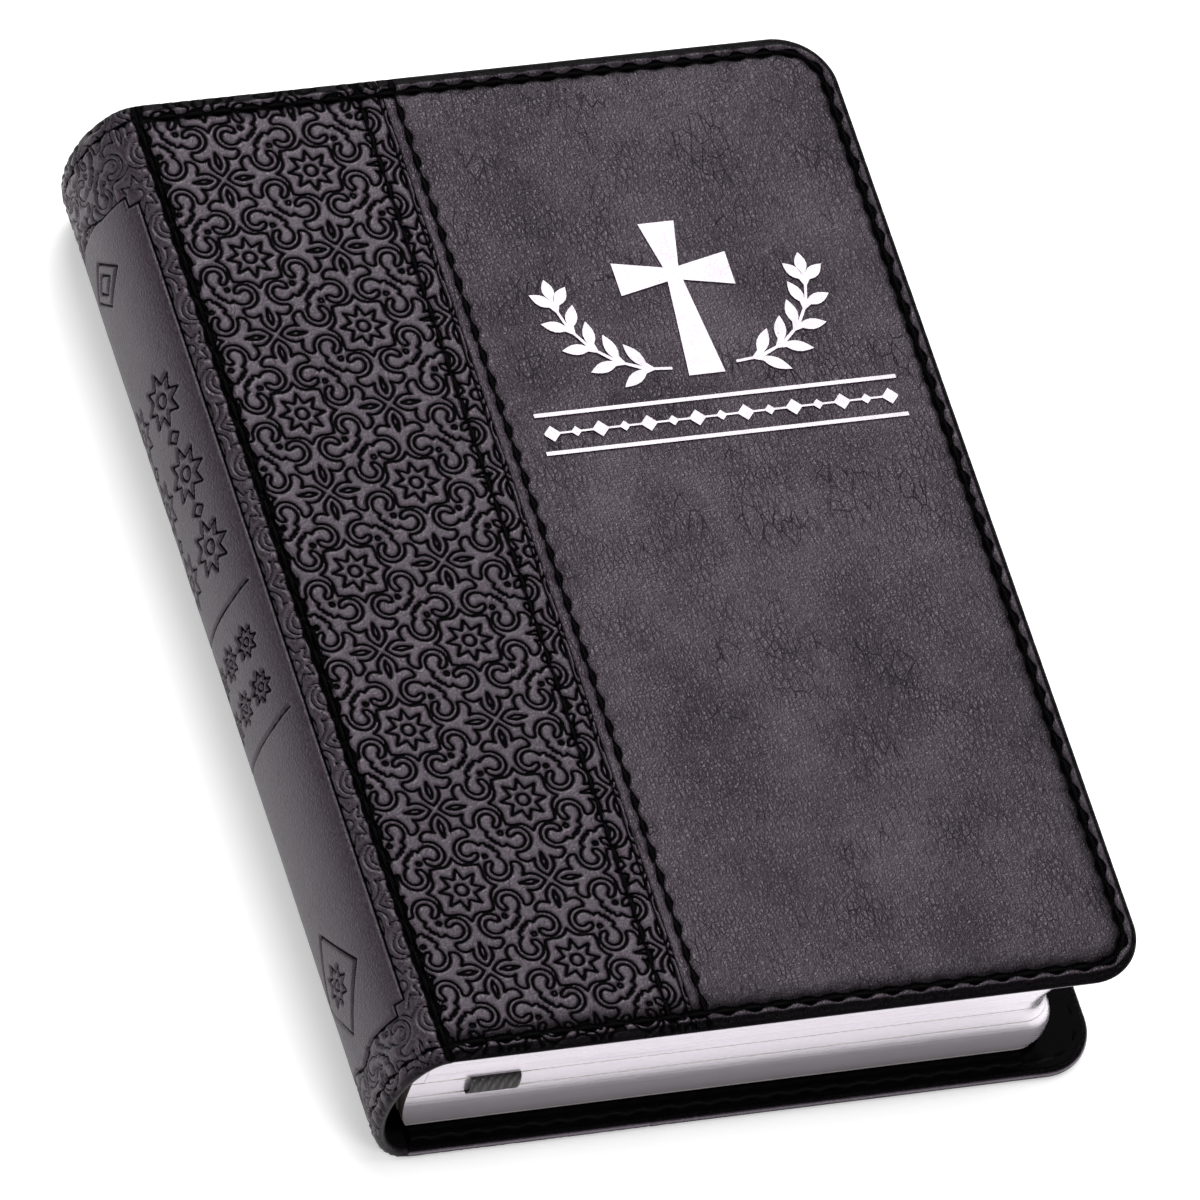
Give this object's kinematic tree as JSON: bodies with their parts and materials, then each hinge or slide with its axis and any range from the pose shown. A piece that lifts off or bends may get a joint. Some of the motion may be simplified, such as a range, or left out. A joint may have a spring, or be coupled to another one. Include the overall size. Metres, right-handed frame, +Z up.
{
  "type": "pocket bible",
  "caption": "Closed pocket bible in limp tooled leather covers with a round spine, silvered leaf edges, a foil cross and a ribbon marker; both covers open flat and the leaves fan out",
  "frame": {"origin": "middle of the footprint, on the surface that the book lies on, under its back cover", "axes": "+X from the spine to the fore edge, +Y from the tail to the head, +Z up from the back cover to the front cover"},
  "size_m": [0.106, 0.15, 0.0251],
  "materials": {
    "tooled_leather": "dark aubergine-black imitation leather, pressed with a scrolling pattern, satin",
    "plain_leather": "dark aubergine-black imitation leather, fine creased grain, satin",
    "lining_leather": "thin black lining skin, smooth and slightly glossy",
    "thread": "black sewing thread",
    "card": "grey flexible card",
    "gauze": "glued open-weave cotton",
    "gilt_leaves": "thin bible paper with silvered, burnished edges",
    "paper": "smooth matt endpaper",
    "ribbon": "black satin ribbon in a diagonal weave",
    "silver_foil": "stamped silver foil"
  },
  "bodies": {
    "text_block": {"spine_leather": "tooled_leather", "spine_card": "card", "spine_lining": "lining_leather", "spine_mull": "gauze", "sewn_folds": "gilt_leaves", "middle_leaves": "gilt_leaves", "lower_leaves": "gilt_leaves", "ribbon_marker": "ribbon"},
    "front_cover": {"front_strip_leather": "tooled_leather", "front_panel_leather": "plain_leather", "front_board": "card", "front_lining": "lining_leather", "front_pastedown": "paper", "front_edge_thread": "thread", "front_joint_thread": "thread", "front_inner_seam_thread": "thread", "front_outer_seam_thread": "thread", "foil_cross": "silver_foil", "foil_left_spray": "silver_foil", "foil_right_spray": "silver_foil", "foil_lozenge_row": "silver_foil", "foil_upper_rule": "silver_foil", "foil_lower_rule": "silver_foil"},
    "back_cover": {"back_strip_leather": "tooled_leather", "back_panel_leather": "plain_leather", "back_board": "card", "back_lining": "lining_leather", "back_pastedown": "paper", "back_edge_thread": "thread", "back_joint_thread": "thread", "back_inner_seam_thread": "thread", "back_outer_seam_thread": "thread"},
    "front_flyleaf": {"front_flyleaf": "paper"},
    "back_flyleaf": {"back_flyleaf": "paper"},
    "turning_leaves_1": {"turning_leaves_1": "gilt_leaves"},
    "turning_leaves_2": {"turning_leaves_2": "gilt_leaves"},
    "turning_leaves_3": {"turning_leaves_3": "gilt_leaves"},
    "turning_leaves_4": {"turning_leaves_4": "gilt_leaves"},
    "turning_leaves_5": {"turning_leaves_5": "gilt_leaves"},
    "turning_leaves_6": {"turning_leaves_6": "gilt_leaves"}
  },
  "joints": [
    {"name": "front_cover_joint", "type": "hinge", "parent": "text_block", "child": "front_cover", "pos_m": [-0.0459, 0, 0.025], "axis": [0, -1, 0], "range_deg": [0, 179]},
    {"name": "back_cover_joint", "type": "hinge", "parent": "text_block", "child": "back_cover", "pos_m": [-0.0459, 0, 0], "axis": [0, 1, 0], "range_deg": [0, 179]},
    {"name": "front_flyleaf_turn", "type": "hinge", "parent": "text_block", "child": "front_flyleaf", "pos_m": [-0.0459, 0, 0.025], "axis": [0, -1, 0], "range_deg": [0, 180]},
    {"name": "back_flyleaf_turn", "type": "hinge", "parent": "text_block", "child": "back_flyleaf", "pos_m": [-0.0459, 0, 0], "axis": [0, 1, 0], "range_deg": [0, 180]},
    {"name": "leaves_1_turn", "type": "hinge", "parent": "text_block", "child": "turning_leaves_1", "pos_m": [-0.0459, 0, 0.025], "axis": [0, -1, 0], "range_deg": [0, 180]},
    {"name": "leaves_2_turn", "type": "hinge", "parent": "text_block", "child": "turning_leaves_2", "pos_m": [-0.0459, 0, 0.025], "axis": [0, -1, 0], "range_deg": [0, 180]},
    {"name": "leaves_3_turn", "type": "hinge", "parent": "text_block", "child": "turning_leaves_3", "pos_m": [-0.0459, 0, 0.025], "axis": [0, -1, 0], "range_deg": [0, 180]},
    {"name": "leaves_4_turn", "type": "hinge", "parent": "text_block", "child": "turning_leaves_4", "pos_m": [-0.0459, 0, 0.025], "axis": [0, -1, 0], "range_deg": [0, 180]},
    {"name": "leaves_5_turn", "type": "hinge", "parent": "text_block", "child": "turning_leaves_5", "pos_m": [-0.0459, 0, 0.025], "axis": [0, -1, 0], "range_deg": [0, 180]},
    {"name": "leaves_6_turn", "type": "hinge", "parent": "text_block", "child": "turning_leaves_6", "pos_m": [-0.0459, 0, 0.025], "axis": [0, -1, 0], "range_deg": [0, 180]}
  ],
  "couplings": [
    {"joint": "front_flyleaf_turn", "follows": "front_cover_joint", "ratio": 0.97},
    {"joint": "leaves_1_turn", "follows": "front_cover_joint", "ratio": 0.93},
    {"joint": "leaves_2_turn", "follows": "front_cover_joint", "ratio": 0.88},
    {"joint": "leaves_3_turn", "follows": "front_cover_joint", "ratio": 0.81},
    {"joint": "leaves_4_turn", "follows": "front_cover_joint", "ratio": 0.72},
    {"joint": "leaves_5_turn", "follows": "front_cover_joint", "ratio": 0.6},
    {"joint": "leaves_6_turn", "follows": "front_cover_joint", "ratio": 0.45},
    {"joint": "back_flyleaf_turn", "follows": "back_cover_joint", "ratio": 0.96}
  ]
}
